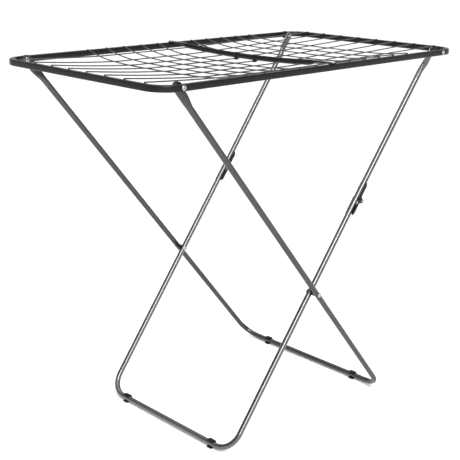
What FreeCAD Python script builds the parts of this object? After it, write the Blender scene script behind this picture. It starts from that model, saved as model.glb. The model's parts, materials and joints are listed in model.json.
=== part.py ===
import FreeCAD, Part
import math
import os
import Sketcher
from FreeCAD import Placement, Rotation, Vector

# Folding rack with a wire net, in millimetres.
# Z is up and the floor is Z = 0. X runs along the top and Y across it; the front is at -Y.
# The outer leg hangs near the left end and stands on the right, the inner leg the other way round.
# The inner leg is cut in two at a knee, so that the whole stand folds flat under the top.

DIMENSIONS = {
    # the top
    "top_length": 1000,
    "top_width": 560,
    "top_height": 906.5,
    "rail_width": 14,
    "rail_depth": 14,
    "rail_edge": 3,
    "corner_radius": 55,
    # the hinge axes and the stance
    "hinge_height": 900,
    "outer_hinge_inset": 57,
    "inner_hinge_inset": 64,
    "outer_foot_reach": 292.5,
    "inner_foot_reach": 250.5,
    "bar_height": 10.5,
    # the leg tubes and their flattened ends
    "tube_radius": 7,
    "outer_half_width": 252.5,
    "inner_foot_half": 226,
    "inner_knee_half": 232,
    "inner_hinge_half": 238.5,
    "bend_radius": 50,
    "tab_thickness": 5,
    "tab_radius": 10.5,
    "tab_length": 28,
    "taper_length": 38,
    # the knee
    "upper_arm": 432,
    "knee_offset": 14.5,
    "knee_gap": 0.4,
    "sheet_thickness": 1.5,
    "bracket_length": 46,
    "bracket_lap": 3,
    "bracket_chamfer": 6,
    "bracket_slack": 0.85,
    "bracket_nesting": 1.7,
    "bracket_rivet_place": 30,
    "bracket_rivet_rise": 3.4,
    "bracket_rivet_radius": 2,
    "cheek_edge": 0.2,
    "cheek_back": 9,
    "web_start": 12,
    "ear_radius": 5.5,
    "ear_tilt": 1,
    # pins, rivets and spacers
    "rivet_radius": 3,
    "small_rivet_radius": 2.5,
    "pin_play": 0.05,
    "head_radius": 5.5,
    "head_thickness": 1.6,
    "small_head_radius": 3.2,
    "small_head_thickness": 1,
    "head_flat": 0.6,
    "spacer_radius": 6,
    "hinge_spacer_radius": 9.8,
    "corner_clearance": 1,
    "part_line": 0.9,
    "fit_gap": 0.2,
    # the feet
    "foot_radius": 11.2,
    "foot_length": 15,
    "foot_place": 160,
    "foot_mouth": 11,
    # the net
    "wire_radius": 1.5,
    "wire_sink": 0.3,
    "wire_inset": 8,
    "wire_lip": 2,
    "wire_bend": 150,
    "net_depth": 19,
    "net_middle": 16,
    "net_half_gap": 59,
    "long_wire_pitch": 62,
    "cross_wire_pitch": 55,
    # the crossbar
    "crossbar_place": 8,
    "crossbar_radius": 6.5,
    "crossbar_end_height": 903,
    "crossbar_dip": 6.5,
    "crossbar_half": 200,
    "crossbar_taper": 35,
    "crossbar_tab": 3,
    "crossbar_tab_half_width": 9,
    "crossbar_tab_inset": 2,
    "clip_thickness": 1.2,
    "clip_width": 6,
    "clip_play": 0.1,
    "clip_block_half": 5.5,
}
LENGTHS = {
    "outer_length": "=sqrt((outer_foot_reach - outer_hinge_inset + top_length / 2)^2"
                    " + (hinge_height - bar_height)^2)",
    "inner_length": "=sqrt((inner_foot_reach - inner_hinge_inset + top_length / 2)^2"
                    " + (hinge_height - bar_height)^2)",
    "knee_reach": "=inner_length - upper_arm",
}
HOLE = "dims.rivet_radius + dims.pin_play"
SMALL_HOLE = "dims.small_rivet_radius + dims.pin_play"
BRACKET_HOLE = "dims.bracket_rivet_radius + dims.pin_play"
BIG_HEAD = ("dims.head_radius", "dims.head_thickness")
SMALL_HEAD = ("dims.small_head_radius", "dims.small_head_thickness")
LONG_WIRES = 8
CROSS_WIRES = 5
# the largest share of a wire's straight stretch that one bend takes
BEND_SHARE = 0.45
# how steeply the net climbs to the long rails
EDGE_POWER = 4
# millimetres or radians below which a height or a bend counts as none
FLAT = 1e-6
FRONT, BACK = -1, 1
SIDES = {"front": FRONT, "back": BACK}

doc = FreeCAD.newDocument("drying_rack")
sheet = doc.addObject("Spreadsheet::Sheet", "dims")
for row, (alias, number) in enumerate([*DIMENSIONS.items(), *LENGTHS.items()], start=1):
    sheet.set(f"A{row}", alias)
    sheet.set(f"B{row}", str(number))
    sheet.setAlias(f"B{row}", alias)
doc.recompute()


def value(expression):
    """What an expression in the sheet's terms comes to."""
    return float(sheet.evalExpression(expression))


def bind(feature, **expressions):
    """Tie properties of a feature to the sheet."""
    for prop, expression in expressions.items():
        feature.setExpression(prop, expression)
    return feature


# ------------------------------------------------------------ the side view
# Its points are (x, z) pairs.

OUTER_HINGE = (value("dims.outer_hinge_inset - dims.top_length / 2"), value("dims.hinge_height"))
INNER_HINGE = (value("dims.top_length / 2 - dims.inner_hinge_inset"), value("dims.hinge_height"))
OUTER_FOOT = (value("dims.outer_foot_reach"), value("dims.bar_height"))
INNER_FOOT = (-value("dims.inner_foot_reach"), value("dims.bar_height"))


def distance(p, q):
    return math.hypot(q[0] - p[0], q[1] - p[1])


def slope(p, q):
    """Angle of the line from p to q, counter-clockwise from +X, in degrees."""
    return math.degrees(math.atan2(q[1] - p[1], q[0] - p[0]))


def along(p, angle, reach):
    """The point at a distance from p in the direction of an angle."""
    turn = math.radians(angle)
    return (p[0] + reach * math.cos(turn), p[1] + reach * math.sin(turn))


def crossing_point():
    """Where the two leg lines cross."""
    ux, uz = OUTER_HINGE[0] - OUTER_FOOT[0], OUTER_HINGE[1] - OUTER_FOOT[1]
    vx, vz = INNER_HINGE[0] - INNER_FOOT[0], INNER_HINGE[1] - INNER_FOOT[1]
    wx, wz = INNER_FOOT[0] - OUTER_FOOT[0], INNER_FOOT[1] - OUTER_FOOT[1]
    share = (wx * vz - wz * vx) / (ux * vz - uz * vx)
    return (OUTER_FOOT[0] + share * ux, OUTER_FOOT[1] + share * uz)


CROSSING = crossing_point()
OUTER_SLOPE = slope(OUTER_FOOT, OUTER_HINGE)
INNER_SLOPE = slope(INNER_FOOT, INNER_HINGE)
KNEE = along(INNER_FOOT, INNER_SLOPE, value("dims.knee_reach"))
KNEE_PIN = along(KNEE, INNER_SLOPE - 90, value("dims.knee_offset"))
OUTER_CROSSING_REACH = distance(OUTER_FOOT, CROSSING)
INNER_CROSSING_REACH = distance(INNER_FOOT, CROSSING)
# half width of the inner leg where its leaning arms meet the crossing
INNER_CROSSING_HALF = ("(dims.inner_foot_half + (dims.inner_knee_half - dims.inner_foot_half)"
                       f" * ({INNER_CROSSING_REACH} - dims.bend_radius)"
                       " / (dims.knee_reach - dims.knee_gap / 2 - dims.bend_radius))")


def leg_frame(point, angle, y=0.0, side=BACK):
    """Placement with X up a leg and Y to the back, or with Y to the front for a front-side piece."""
    lean = Rotation(Vector(0, 1, 0), -angle)
    if side == FRONT:
        lean = lean.multiply(Rotation(Vector(1, 0, 0), 180))
    return Placement(Vector(point[0], y, point[1]), lean)


def outwards(point, y, side):
    """Placement with Z across the rack, towards the front or the back."""
    return Placement(Vector(point[0], side * y, point[1]), Rotation(Vector(1, 0, 0), -90 * side))


# ------------------------------------------------------------ helpers

subparts = []


def finish_subpart(feature, name, placement=None):
    """Give a finished piece its name and place, and list it for export."""
    feature.Label = name
    if placement:
        feature.Placement = placement
    subparts.append(feature)
    return feature


def new_body(name):
    return doc.addObject("PartDesign::Body", name)


def plane(body, role):
    return next(item for item in body.Origin.OriginFeatures if item.Role == role)


def sketch_on(body, role, name, lift=None):
    """A sketch on an origin plane of its body, moved along that plane's normal."""
    sketch = body.newObject("Sketcher::SketchObject", name)
    sketch.AttachmentSupport = [(plane(body, role), "")]
    sketch.MapMode = "FlatFace"
    if lift:
        sketch.AttachmentOffset = Placement(Vector(0, 0, value(lift)), Rotation())
        sketch.setExpression("AttachmentOffset.Base.z", lift)
    return sketch


def constrain(sketch, kind, *references, size=None):
    """Add a constraint, driven by an expression when it has a size."""
    if size is None:
        sketch.addConstraint(Sketcher.Constraint(kind, *references))
        return
    index = sketch.addConstraint(Sketcher.Constraint(kind, *references, value(size)))
    sketch.setExpression(f"Constraints[{index}]", size)


def add_line(sketch, start, end):
    return sketch.addGeometry(Part.LineSegment(Vector(*start, 0), Vector(*end, 0)), False)


def add_arc(sketch, centre, radius, first, last):
    circle = Part.Circle(Vector(*centre, 0), Vector(0, 0, 1), radius)
    return sketch.addGeometry(Part.ArcOfCircle(circle, math.radians(first), math.radians(last)), False)


def add_circle(sketch, x, y, radius):
    """A circle at expressions x and y from the origin; None keeps it on that axis."""
    centre = Vector(value(x) if x else 0, value(y) if y else 0, 0)
    index = sketch.addGeometry(Part.Circle(centre, Vector(0, 0, 1), value(radius)), False)
    constrain(sketch, "Radius", index, size=radius)
    for kind, size, axis in (("DistanceX", x, -2), ("DistanceY", y, -1)):
        if size:
            constrain(sketch, kind, -1, 1, index, 3, size=size)
        else:
            constrain(sketch, "PointOnObject", index, 3, axis)
    return index


def add_rounded_rectangle(sketch, half_x, half_y, radius):
    """A rectangle about the origin with rounded corners, sizes as expressions."""
    x, y, r = value(half_x), value(half_y), value(radius)
    lines, arcs = [], []
    for turn, (sx, sy) in enumerate(((1, 1), (-1, 1), (-1, -1), (1, -1))):
        arcs.append(add_arc(sketch, (sx * (x - r), sy * (y - r)), r, 90 * turn, 90 * turn + 90))
    lines.append(add_line(sketch, (x - r, y), (r - x, y)))
    lines.append(add_line(sketch, (-x, y - r), (-x, r - y)))
    lines.append(add_line(sketch, (r - x, -y), (x - r, -y)))
    lines.append(add_line(sketch, (x, r - y), (x, y - r)))
    for turn in range(4):
        constrain(sketch, "Tangent", arcs[turn], 2, lines[turn], 1)
        constrain(sketch, "Tangent", lines[turn], 2, arcs[(turn + 1) % 4], 1)
        constrain(sketch, "Horizontal" if turn % 2 == 0 else "Vertical", lines[turn])
        constrain(sketch, "Radius", arcs[turn], size=radius)
    constrain(sketch, "DistanceY", -1, 1, lines[0], 1, size=half_y)
    constrain(sketch, "DistanceX", lines[1], 1, -1, 1, size=half_x)
    constrain(sketch, "DistanceY", lines[2], 1, -1, 1, size=half_y)
    constrain(sketch, "DistanceX", -1, 1, lines[3], 1, size=half_x)


def add_polygon(sketch, corners):
    """A closed outline through corners given as pairs of expressions."""
    points = [(value(x), value(y)) for x, y in corners]
    count = len(points)
    lines = [add_line(sketch, points[i], points[(i + 1) % count]) for i in range(count)]
    for i in range(count):
        constrain(sketch, "Coincident", lines[i], 2, lines[(i + 1) % count], 1)
    for line, (x, y) in zip(lines, corners):
        constrain(sketch, "DistanceX", -1, 1, line, 1, size=x)
        constrain(sketch, "DistanceY", -1, 1, line, 1, size=y)


def pad(body, sketch, name, length, midplane=False, reverse=False):
    feature = body.newObject("PartDesign::Pad", name)
    feature.Profile = sketch
    feature.Midplane = midplane
    feature.Reversed = reverse
    return bind(feature, Length=length)


def sweep(body, section, path, name):
    tube = body.newObject("PartDesign::AdditivePipe", name)
    tube.Profile = section
    tube.Spine = (path, [])
    return tube


def drill(body, name, holes):
    """Round holes along Y through the whole body, at (x, z, radius) expressions."""
    doc.recompute()
    before = body.Shape.Volume
    sketch = sketch_on(body, "XZ_Plane", name + "_outline")
    for x, z, radius in holes:
        add_circle(sketch, x, z, radius)
    pocket = body.newObject("PartDesign::Pocket", name)
    pocket.Profile = sketch
    pocket.Type = "ThroughAll"
    pocket.Midplane = True
    doc.recompute()
    assert body.Shape.Volume < before, name + " cuts nothing"
    return pocket


def cylinder(name, radius, height, placement=None):
    feature = doc.addObject("Part::Cylinder", name)
    if placement:
        feature.Placement = placement
    return bind(feature, Radius=radius, Height=height)


def fuse(name, shapes):
    feature = doc.addObject("Part::MultiFuse", name)
    feature.Shapes = shapes
    feature.Refine = True
    return feature


def cut(name, base, tool):
    feature = doc.addObject("Part::Cut", name)
    feature.Base = base
    feature.Tool = tool
    return feature


def rivet(name, placement, shank, length, heads=("first", "last"), head_size=BIG_HEAD):
    """A rivet along Z that starts at 0, with tapered heads beyond the ends of its shank."""
    solids = [cylinder(name + "_shank", shank, length)]
    radius, thickness = head_size
    for end in heads:
        head = doc.addObject("Part::Cone", f"{name}_{end}_head")
        bind(head, Radius1=radius, Radius2=f"{radius} * dims.head_flat", Height=thickness)
        if end == "first":
            head.Placement = Placement(Vector(), Rotation(Vector(1, 0, 0), 180))
        else:
            head.setExpression("Placement.Base.z", length)
        solids.append(head)
    return finish_subpart(fuse(name, solids), name, placement)


def bent_wire(points, bend):
    """A round wire through the points, straight between large tangent bends."""
    nodes = [Vector(*point) for point in points]
    edges = []
    here = nodes[0]
    for before, corner, after in zip(nodes, nodes[1:], nodes[2:]):
        arriving, leaving = corner - before, after - corner
        turn = arriving.getAngle(leaving)
        if turn < FLAT:
            continue
        half = math.tan(turn / 2)
        reach = min(bend * half, BEND_SHARE * min(arriving.Length, leaving.Length))
        start = corner - arriving.normalize() * reach
        end = corner + leaving.normalize() * reach
        inwards = (leaving - arriving).normalize()
        middle = corner + inwards * (reach / half) * (1 / math.cos(turn / 2) - 1)
        edges.append(Part.LineSegment(here, start).toShape())
        edges.append(Part.Arc(start, middle, end).toShape())
        here = end
    edges.append(Part.LineSegment(here, nodes[-1]).toShape())
    path = Part.Wire(edges)
    ring = Part.makeCircle(value("dims.wire_radius"), nodes[0], nodes[1] - nodes[0])
    return path.makePipeShell([Part.Wire([ring])], True, False)


# ------------------------------------------------------------ the top frame

def make_top_frame():
    """One closed loop of flat-sided tube with rounded corners."""
    body = new_body("top_frame")
    sketch = sketch_on(body, "XY_Plane", "rail_outline", "dims.top_height - dims.rail_depth")
    add_rounded_rectangle(sketch, "dims.top_length / 2", "dims.top_width / 2", "dims.corner_radius")
    add_rounded_rectangle(sketch, "dims.top_length / 2 - dims.rail_width",
                          "dims.top_width / 2 - dims.rail_width", "dims.corner_radius - dims.rail_width")
    rail = pad(body, sketch, "rail", "dims.rail_depth")
    doc.recompute()
    level = [f"Edge{i}" for i, edge in enumerate(rail.Shape.Edges, start=1)
             if edge.BoundBox.ZLength < FLAT]
    rounding = body.newObject("PartDesign::Fillet", "rail_rounding")
    rounding.Base = (rail, level)
    bind(rounding, Radius="dims.rail_edge")
    drill(body, "rivet_holes", [
        ("dims.outer_hinge_inset - dims.top_length / 2", "dims.hinge_height", HOLE),
        ("dims.top_length / 2 - dims.inner_hinge_inset", "dims.hinge_height", HOLE),
    ])
    before = body.Shape.Volume
    wells = sketch_on(body, "XY_Plane", "crossbar_rivet_wells_outline", "dims.top_height")
    for side in (FRONT, BACK):
        rail_middle = f"{side} * (dims.top_width - dims.rail_width) / 2"
        add_circle(wells, "dims.crossbar_place", rail_middle, SMALL_HOLE)
    pocket = body.newObject("PartDesign::Pocket", "crossbar_rivet_wells")
    pocket.Profile = wells
    bind(pocket, Length="dims.rail_depth / 2 + dims.fit_gap")
    doc.recompute()
    assert body.Shape.Volume < before, "the rivet wells cut nothing"
    return finish_subpart(body, "top_frame")


# ------------------------------------------------------------ the net

NET_TOP = value("dims.top_height + dims.wire_radius - dims.wire_sink")
NET_END_X = value("dims.top_length / 2 - dims.wire_inset")
NET_END_Y = value("dims.top_width / 2 - dims.wire_inset")
RAIL_INSIDE_X = value("dims.top_length / 2 - dims.rail_width")
RAIL_INSIDE_Y = value("dims.top_width / 2 - dims.rail_width")
LIP = value("dims.wire_lip")
WELD = value("2 * dims.wire_radius - dims.wire_sink")


def long_wire_places():
    middle = (LONG_WIRES - 1) / 2
    return [(i - middle) * value("dims.long_wire_pitch") for i in range(LONG_WIRES)]


def cross_wire_places(side):
    """X of the cross wires left (-1) or right (+1) of the net's middle, nearest first."""
    first, pitch = value("dims.net_half_gap"), value("dims.cross_wire_pitch")
    return [value("dims.net_middle") + side * (first + i * pitch) for i in range(CROSS_WIRES)]


def sag_along(x):
    """Share of the net's depth along X: full from the last left wire to the crossbar."""
    left, right = cross_wire_places(-1)[-1], value("dims.crossbar_place")
    if x < left:
        return (x + RAIL_INSIDE_X) / (left + RAIL_INSIDE_X)
    if x > right:
        return (RAIL_INSIDE_X - x) / (RAIL_INSIDE_X - right)
    return 1.0


def sag_across(y):
    """Share of the net's depth across the rack: flat in the middle, steep at the rails."""
    return 1 - (abs(y) / RAIL_INSIDE_Y) ** EDGE_POWER


def net_height(x, y):
    """Height of a long wire's axis."""
    return NET_TOP - value("dims.net_depth") * sag_along(x) * sag_across(y)


def make_long_wires():
    """Wires from end rail to end rail, which pass below the crossbar."""
    left, middle = cross_wire_places(-1)[-1], value("dims.crossbar_place")
    wires = []
    for y in long_wire_places():
        places = (-NET_END_X, -RAIL_INSIDE_X - LIP, left, middle, RAIL_INSIDE_X + LIP, NET_END_X)
        heights = (NET_TOP, NET_TOP, net_height(left, y), net_height(middle, y), NET_TOP, NET_TOP)
        wires.append(bent_wire([(x, y, z) for x, z in zip(places, heights)], value("dims.wire_bend")))
    feature = doc.addObject("Part::Feature", "long_wires")
    feature.Shape = Part.makeCompound(wires)
    return finish_subpart(feature, "long_wires", Placement())


def make_cross_wires(name, side):
    """Wires from front rail to back rail, welded under the long wires."""
    wires = []
    for x in cross_wire_places(side):
        dips = [(x, y, net_height(x, y) - WELD) for y in long_wire_places()]
        ends = [(x, NET_END_Y * end, NET_TOP) for end in (FRONT, BACK)]
        lips = [(x, (RAIL_INSIDE_Y + LIP) * end, NET_TOP) for end in (FRONT, BACK)]
        wires.append(bent_wire([ends[0], lips[0], *dips, lips[1], ends[1]], value("dims.wire_bend")))
    feature = doc.addObject("Part::Feature", name)
    feature.Shape = Part.makeCompound(wires)
    return finish_subpart(feature, name, Placement())


# ------------------------------------------------------------ the crossbar

def make_crossbar():
    """A round tube that dips in the middle, with flattened ends that lie on the long rails."""
    x, radius = value("dims.crossbar_place"), value("dims.crossbar_radius")
    half, end_z = value("dims.crossbar_half"), value("dims.crossbar_end_height")
    tab, tab_half = value("dims.crossbar_tab"), value("dims.crossbar_tab_half_width")
    low = Vector(x, 0, end_z - value("dims.crossbar_dip"))
    spine = Part.Wire([Part.Arc(Vector(x, -half, end_z), low, Vector(x, half, end_z)).toShape()])
    arc = spine.Edges[0]
    leaning = {FRONT: arc.tangentAt(arc.FirstParameter), BACK: arc.tangentAt(arc.LastParameter)}
    rings = {side: Part.makeCircle(radius, Vector(x, side * half, end_z), leaning[side])
             for side in (FRONT, BACK)}
    bar = spine.makePipeShell([Part.Wire([rings[FRONT]])], True, False)
    tab_start = half + value("dims.crossbar_taper")
    tab_z = value("dims.top_height") + tab / 2
    pieces = [bar]
    for side in (FRONT, BACK):
        oval = Part.Ellipse(Vector(x, side * tab_start, tab_z), tab_half, tab / 2)
        oval.Axis = Vector(0, 1, 0)
        oval.XAxis = Vector(1, 0, 0)
        pieces.append(Part.makeLoft([Part.Wire([rings[side]]), Part.Wire([oval.toShape()])], True))
        near = tab_start - tab / 2
        length = value("dims.top_width / 2 - dims.crossbar_tab_inset") - near
        corner_y = near if side == BACK else -near - length
        corner = Vector(x - tab_half, corner_y, tab_z - tab / 2)
        pieces.append(Part.makeBox(2 * tab_half, length, tab, corner))
    shape = pieces[0].fuse(pieces[1:]).removeSplitter()
    holes = [crossbar_rivet_hole(side) for side in (FRONT, BACK)]
    feature = doc.addObject("Part::Feature", "middle_crossbar")
    feature.Shape = shape.cut(Part.makeCompound(holes))
    return finish_subpart(feature, "middle_crossbar", Placement())


def crossbar_rivet_hole(side):
    """Cutter for the rivet hole in a flattened end."""
    y = side * value("(dims.top_width - dims.rail_width) / 2")
    base = Vector(value("dims.crossbar_place"), y, value("dims.top_height"))
    return Part.makeCylinder(value(SMALL_HOLE), value("2 * dims.crossbar_tab"), base)


def make_crossbar_rivet(name, side):
    """An upright rivet through the flattened end and into the rail."""
    placement = Placement(Vector(), Rotation())
    feature = rivet(name, placement, "dims.small_rivet_radius",
                    "dims.crossbar_tab + dims.rail_depth / 2", heads=("last",))
    feature.setExpression("Placement.Base.x", "dims.crossbar_place")
    feature.setExpression("Placement.Base.y", f"{side} * (dims.top_width - dims.rail_width) / 2")
    feature.setExpression("Placement.Base.z", "dims.top_height - dims.rail_depth / 2")
    return feature


def crossbar_height(y):
    """Height of the crossbar's axis between its tapers."""
    end, dip = value("dims.crossbar_end_height"), value("dims.crossbar_dip")
    half = value("dims.crossbar_half")
    radius = (half ** 2 + dip ** 2) / (2 * dip)
    return end - dip + radius - math.sqrt(radius ** 2 - y ** 2)


def make_wire_clips():
    """Plastic clips round the crossbar that hold the two middle wires under it."""
    x, width = value("dims.crossbar_place"), value("dims.clip_width")
    inner = value("dims.crossbar_radius + dims.clip_play")
    outer = inner + value("dims.clip_thickness")
    block_half = value("dims.clip_block_half")
    wire_hole = value("dims.wire_radius + dims.pin_play")
    clips = []
    for y in (-value("dims.long_wire_pitch") / 2, value("dims.long_wire_pitch") / 2):
        bar_z, wire_z = crossbar_height(y), net_height(x, y)
        sleeve = Part.makeCylinder(outer, width, Vector(x, y - width / 2, bar_z), Vector(0, 1, 0))
        bottom = wire_z - wire_hole - value("dims.clip_thickness")
        corner = Vector(x - block_half, y - width / 2, bottom)
        block = Part.makeBox(2 * block_half, width, bar_z - bottom, corner)
        bore = Part.makeCylinder(inner, 2 * width, Vector(x, y - width, bar_z), Vector(0, 1, 0))
        wire_start = Vector(x - 2 * outer, y, wire_z)
        passage = Part.makeCylinder(wire_hole, 4 * outer, wire_start, Vector(1, 0, 0))
        clips.append(sleeve.fuse(block).cut(bore).cut(passage).removeSplitter())
    feature = doc.addObject("Part::Feature", "wire_clips")
    feature.Shape = Part.makeCompound(clips)
    return finish_subpart(feature, "wire_clips", Placement())


# ------------------------------------------------------------ the legs
# A leg is drawn lying down: X up the leg from its foot bar, Y across the rack.

def add_ellipse(sketch, x, half_x, half_y):
    """An upright ellipse centred on the sketch's own X axis, sizes as expressions."""
    cx, rx, ry = value(x), value(half_x), value(half_y)
    shape = Part.Ellipse(Vector(cx, ry, 0), Vector(cx + rx, 0, 0), Vector(cx, 0, 0))
    index = sketch.addGeometry(shape, False)
    sketch.exposeInternalGeometry(index)
    constrain(sketch, "PointOnObject", index, 3, -1)
    constrain(sketch, "DistanceX", -1, 1, index, 3, size=x)
    constrain(sketch, "Vertical", index + 1)
    constrain(sketch, "Distance", index + 1, size=f"2 * ({half_y})")
    constrain(sketch, "Distance", index + 2, size=f"2 * ({half_x})")
    return index


def bend_leg(body, foot_half, end_half, reach):
    """A round tube bent into a U, its arms going from one half width at the foot bar to another."""
    w, end, r, x = value(foot_half), value(end_half), value("dims.bend_radius"), value(reach)
    path = sketch_on(body, "XY_Plane", "leg_path")
    first_arm = add_line(path, (x, -end), (r, -w))
    first_bend = add_arc(path, (r, r - w), r, 180, 270)
    foot_bar = add_line(path, (0, r - w), (0, w - r))
    last_bend = add_arc(path, (r, w - r), r, 90, 180)
    last_arm = add_line(path, (r, w), (x, end))
    constrain(path, "Tangent", first_arm, 2, first_bend, 2)
    constrain(path, "Tangent", first_bend, 1, foot_bar, 1)
    constrain(path, "Tangent", foot_bar, 2, last_bend, 2)
    constrain(path, "Tangent", last_bend, 1, last_arm, 1)
    constrain(path, "Radius", first_bend, size="dims.bend_radius")
    constrain(path, "Radius", last_bend, size="dims.bend_radius")
    constrain(path, "PointOnObject", foot_bar, 1, -2)
    constrain(path, "PointOnObject", foot_bar, 2, -2)
    constrain(path, "DistanceY", foot_bar, 1, -1, 1, size=f"{foot_half} - dims.bend_radius")
    constrain(path, "DistanceY", -1, 1, foot_bar, 2, size=f"{foot_half} - dims.bend_radius")
    constrain(path, "DistanceX", -1, 1, first_arm, 1, size=reach)
    constrain(path, "DistanceX", -1, 1, last_arm, 2, size=reach)
    constrain(path, "DistanceY", first_arm, 1, -1, 1, size=end_half)
    constrain(path, "DistanceY", -1, 1, last_arm, 2, size=end_half)
    section = sketch_on(body, "YZ_Plane", "leg_section", reach)
    add_circle(section, f"-({end_half})", None, "dims.tube_radius")
    return sweep(body, section, path, "bent_tube")


def flatten_end(body, side, half_width, length):
    """Squeeze the end of an arm into a flat tab that is flush with the arm's outer side."""
    label = "front" if side == FRONT else "back"
    arm_y = f"{side} * ({half_width})"
    tab_y = f"{side} * ({half_width} + dims.tube_radius - dims.tab_thickness / 2)"
    tab_start = f"{length} - dims.tab_length"
    round_end = sketch_on(body, "YZ_Plane", f"round_end_{label}", f"{tab_start} - dims.taper_length")
    add_circle(round_end, arm_y, None, "dims.tube_radius")
    flat_end = sketch_on(body, "YZ_Plane", f"flat_end_{label}", tab_start)
    add_ellipse(flat_end, tab_y, "dims.tab_thickness / 2", "dims.tab_radius")
    taper = body.newObject("PartDesign::AdditiveLoft", f"taper_{label}")
    taper.Profile = round_end
    taper.Sections = [flat_end]
    x, end, r = value(tab_start), value(length), value("dims.tab_radius")
    outline = sketch_on(body, "XZ_Plane", f"tab_outline_{label}", f"-({tab_y})")
    lower = add_line(outline, (x, -r), (end, -r))
    nose = add_arc(outline, (end, 0), r, -90, 90)
    upper = add_line(outline, (end, r), (x, r))
    back = add_line(outline, (x, r), (x, -r))
    constrain(outline, "Tangent", lower, 2, nose, 1)
    constrain(outline, "Tangent", nose, 2, upper, 1)
    constrain(outline, "Coincident", upper, 2, back, 1)
    constrain(outline, "Coincident", back, 2, lower, 1)
    constrain(outline, "Horizontal", lower)
    constrain(outline, "Vertical", back)
    constrain(outline, "PointOnObject", nose, 3, -1)
    constrain(outline, "Radius", nose, size="dims.tab_radius")
    constrain(outline, "DistanceX", -1, 1, nose, 3, size=length)
    constrain(outline, "DistanceX", -1, 1, back, 1, size=tab_start)
    pad(body, outline, f"tab_{label}", "dims.tab_thickness", midplane=True)


def make_outer_leg():
    body = new_body("outer_leg")
    bend_leg(body, "dims.outer_half_width", "dims.outer_half_width",
             "dims.outer_length - dims.tab_length - dims.taper_length")
    for side in (FRONT, BACK):
        flatten_end(body, side, "dims.outer_half_width", "dims.outer_length")
    drill(body, "rivet_holes", [
        ("dims.outer_length", None, HOLE),
        (str(OUTER_CROSSING_REACH), None, HOLE),
    ])
    return finish_subpart(body, "outer_leg", leg_frame(OUTER_FOOT, OUTER_SLOPE))


def make_inner_leg_lower():
    body = new_body("inner_leg_lower")
    bend_leg(body, "dims.inner_foot_half", "dims.inner_knee_half", "dims.knee_reach - dims.knee_gap / 2")
    drill(body, "rivet_holes", [
        ("dims.knee_reach - dims.bracket_rivet_place", "-dims.bracket_rivet_rise", BRACKET_HOLE),
        (str(INNER_CROSSING_REACH), None, HOLE),
    ])
    return finish_subpart(body, "inner_leg_lower", leg_frame(INNER_FOOT, INNER_SLOPE))


def make_inner_leg_upper(name, side):
    """A straight arm from the knee to the hinge that leans outwards, drawn from the knee."""
    body = new_body(name)
    start = "dims.knee_gap / 2"
    reach = "dims.upper_arm - dims.tab_length - dims.taper_length"
    lean = "dims.inner_hinge_half - dims.inner_knee_half"
    path = sketch_on(body, "XY_Plane", "arm_path")
    line = add_line(path, (value(start), 0), (value(reach), value(lean)))
    constrain(path, "PointOnObject", line, 1, -1)
    constrain(path, "DistanceX", -1, 1, line, 1, size=start)
    constrain(path, "DistanceX", -1, 1, line, 2, size=reach)
    constrain(path, "DistanceY", -1, 1, line, 2, size=lean)
    section = sketch_on(body, "YZ_Plane", "arm_section", start)
    add_circle(section, None, None, "dims.tube_radius")
    sweep(body, section, path, "arm")
    flatten_end(body, BACK, lean, "dims.upper_arm")
    rise = f"{-side} * dims.bracket_rivet_rise"
    drill(body, "rivet_holes", [
        ("dims.upper_arm", None, HOLE),
        ("dims.bracket_rivet_place", rise, BRACKET_HOLE),
    ])
    y = side * value("dims.inner_knee_half")
    return finish_subpart(body, name, leg_frame(KNEE, INNER_SLOPE, y, side))


# ------------------------------------------------------------ the knee brackets

def make_knee_bracket(name, placement, inside):
    """A folded sheet: a web over the tube, a cheek on each side and an ear for the pin.

    X runs along the tube away from the knee and Z towards the pin.
    """
    body = new_body(name)
    lap, length, edge = "-dims.bracket_lap", "dims.bracket_length", "dims.cheek_edge"
    web_top = "dims.tube_radius + dims.fit_gap + dims.sheet_thickness"
    web_bottom = "dims.tube_radius + dims.fit_gap"
    outside = f"2 * ({inside} + dims.sheet_thickness)"
    cheek = sketch_on(body, "XZ_Plane", "cheek_outline")
    add_polygon(cheek, [
        (lap, edge),
        (length, edge),
        (length, "dims.tube_radius / 2"),
        (f"{length} - dims.bracket_chamfer", web_top),
        ("dims.web_start", web_top),
        ("dims.ear_radius - dims.pin_play", "dims.knee_offset + dims.ear_tilt"),
        ("dims.pin_play - dims.ear_radius", "dims.knee_offset - dims.ear_tilt"),
        (lap, "dims.cheek_back"),
    ])
    pad(body, cheek, "cheek", outside, midplane=True)
    ear = sketch_on(body, "XZ_Plane", "ear_outline")
    add_circle(ear, None, "dims.knee_offset", "dims.ear_radius")
    pad(body, ear, "ear", outside, midplane=True)
    doc.recompute()
    before = body.Shape.Volume
    channel = sketch_on(body, "XZ_Plane", "channel_outline")
    add_polygon(channel, [
        ("-2 * dims.knee_offset", "-dims.knee_offset"),
        ("2 * dims.bracket_length", "-dims.knee_offset"),
        ("2 * dims.bracket_length", web_bottom),
        ("dims.web_start", web_bottom),
        ("dims.web_start", "2 * dims.knee_offset"),
        ("-2 * dims.knee_offset", "2 * dims.knee_offset"),
    ])
    hollow = body.newObject("PartDesign::Pocket", "channel")
    hollow.Profile = channel
    hollow.Midplane = True
    bind(hollow, Length=f"2 * ({inside})")
    doc.recompute()
    assert body.Shape.Volume < before, "the channel cuts nothing"
    drill(body, "rivet_holes", [
        (None, "dims.knee_offset", HOLE),
        ("dims.bracket_rivet_place", "dims.bracket_rivet_rise", BRACKET_HOLE),
    ])
    return finish_subpart(body, name, placement)


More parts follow.
